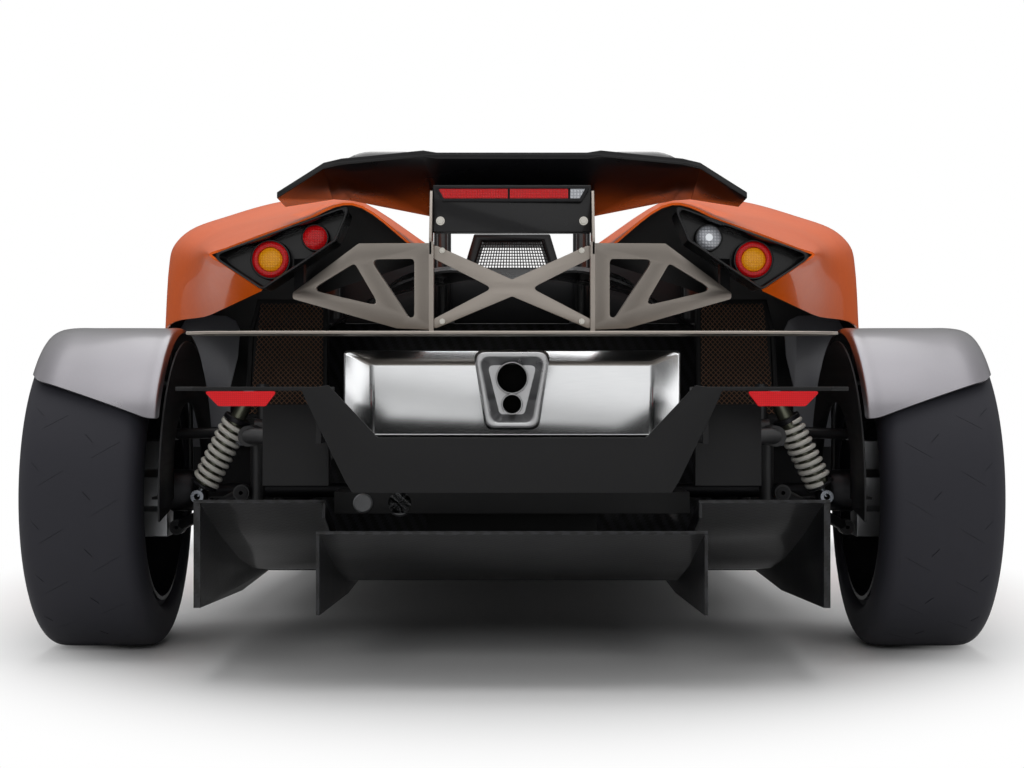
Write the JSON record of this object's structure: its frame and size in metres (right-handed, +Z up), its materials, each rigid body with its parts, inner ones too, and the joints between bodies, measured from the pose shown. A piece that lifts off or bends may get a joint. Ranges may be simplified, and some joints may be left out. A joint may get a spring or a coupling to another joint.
{
  "type": "sports car",
  "caption": "Open two-seat track sports car with exposed wheels under cycle wings, a low tail wing, round tail lamps on dark pods, a central exhaust and a large rear diffuser.",
  "frame": {"origin": "on the ground, under the middle of the car's overall length and width", "axes": "+Y forward, +X to the right, +Z up"},
  "size_m": [1.914, 3.738, 1.14],
  "materials": {
    "tyre": "matt",
    "rim": "satin",
    "disc": "machined",
    "upright": "machined",
    "fender": "satin",
    "carbon": "gloss",
    "black_trim": "satin",
    "orange": "gloss",
    "steel": "satin",
    "coilover": "satin",
    "alloy": "satin",
    "exhaust": "brushed",
    "cast": "cast",
    "radiator": "matt",
    "seat": "matt",
    "grip": "matt",
    "lamp_lens": "gloss",
    "screen": "clear",
    "headlamp": "gloss"
  },
  "bodies": {
    "chassis": {"uprights_rear": "upright", "fenders_rear": "fender", "tub": "carbon", "underfloor": "carbon", "diffusers": "carbon", "splitter": "carbon", "wing": "black_trim", "lamp_pods": "black_trim", "rear_skirt": "black_trim", "pod_bulkheads": "black_trim", "engine_cover": "black_trim", "intake": "black_trim", "dashboard": "black_trim", "side_panel_left": "orange", "side_panel_right": "orange", "nose": "orange", "bonnet": "orange", "wishbones": "steel", "driveshafts": "steel", "rear_subframe": "steel", "roll_hoops": "steel", "coilovers": "coilover", "tail_frame": "alloy", "tail_blade": "alloy", "muffler": "exhaust", "exhaust_tip": "exhaust", "engine": "cast", "radiators": "radiator", "seats": "seat", "rear_lenses": "lamp_lens", "windscreen": "screen", "headlamps": "headlamp", "mirrors": "headlamp"},
    "wheel_fl": {"tyre_front_left": "tyre", "rim_front_left": "rim", "brake_disc_front_left": "disc"},
    "wheel_fr": {"tyre_front_right": "tyre", "rim_front_right": "rim", "brake_disc_front_right": "disc"},
    "wheel_rl": {"tyre_rear_left": "tyre", "rim_rear_left": "rim", "brake_disc_rear_left": "disc"},
    "wheel_rr": {"tyre_rear_right": "tyre", "rim_rear_right": "rim", "brake_disc_rear_right": "disc"},
    "knuckle_fl": {"upright_front_left": "upright", "fender_front_left": "fender"},
    "knuckle_fr": {"upright_front_right": "upright", "fender_front_right": "fender"},
    "rack": {"steering_rack": "steel"},
    "helm": {"steering_wheel": "grip"}
  },
  "joints": [
    {"name": "steer_left", "type": "hinge", "parent": "chassis", "child": "knuckle_fl", "pos_m": [-0.73, 1.181, 0.298], "axis": [0, 0, 1], "range_deg": [-26, 26]},
    {"name": "steer_right", "type": "hinge", "parent": "chassis", "child": "knuckle_fr", "pos_m": [0.73, 1.181, 0.298], "axis": [0, 0, 1], "range_deg": [-26, 26]},
    {"name": "rack_slide", "type": "slide", "parent": "chassis", "child": "rack", "axis": [1, 0, 0], "range_m": [-0.045, 0.045]},
    {"name": "helm_turn", "type": "hinge", "parent": "chassis", "child": "helm", "pos_m": [-0.26, 0.5097, 0.469], "axis": [0, -0.9397, 0.342], "range_deg": [-270, 270]},
    {"name": "wheel_spin_fl", "type": "hinge", "parent": "knuckle_fl", "child": "wheel_fl", "pos_m": [-0.822, 1.181, 0.298], "axis": [1, 0, 0], "continuous": true},
    {"name": "wheel_spin_fr", "type": "hinge", "parent": "knuckle_fr", "child": "wheel_fr", "pos_m": [0.822, 1.181, 0.298], "axis": [1, 0, 0], "continuous": true},
    {"name": "wheel_spin_rl", "type": "hinge", "parent": "chassis", "child": "wheel_rl", "pos_m": [-0.838, -1.249, 0.3225], "axis": [1, 0, 0], "continuous": true},
    {"name": "wheel_spin_rr", "type": "hinge", "parent": "chassis", "child": "wheel_rr", "pos_m": [0.838, -1.249, 0.3225], "axis": [1, 0, 0], "continuous": true}
  ],
  "couplings": [
    {"joint": "steer_right", "follows": "steer_left", "ratio": 1},
    {"joint": "rack_slide", "follows": "steer_left", "m_per_rad": -0.0966},
    {"joint": "helm_turn", "follows": "steer_left", "ratio": 10}
  ]
}
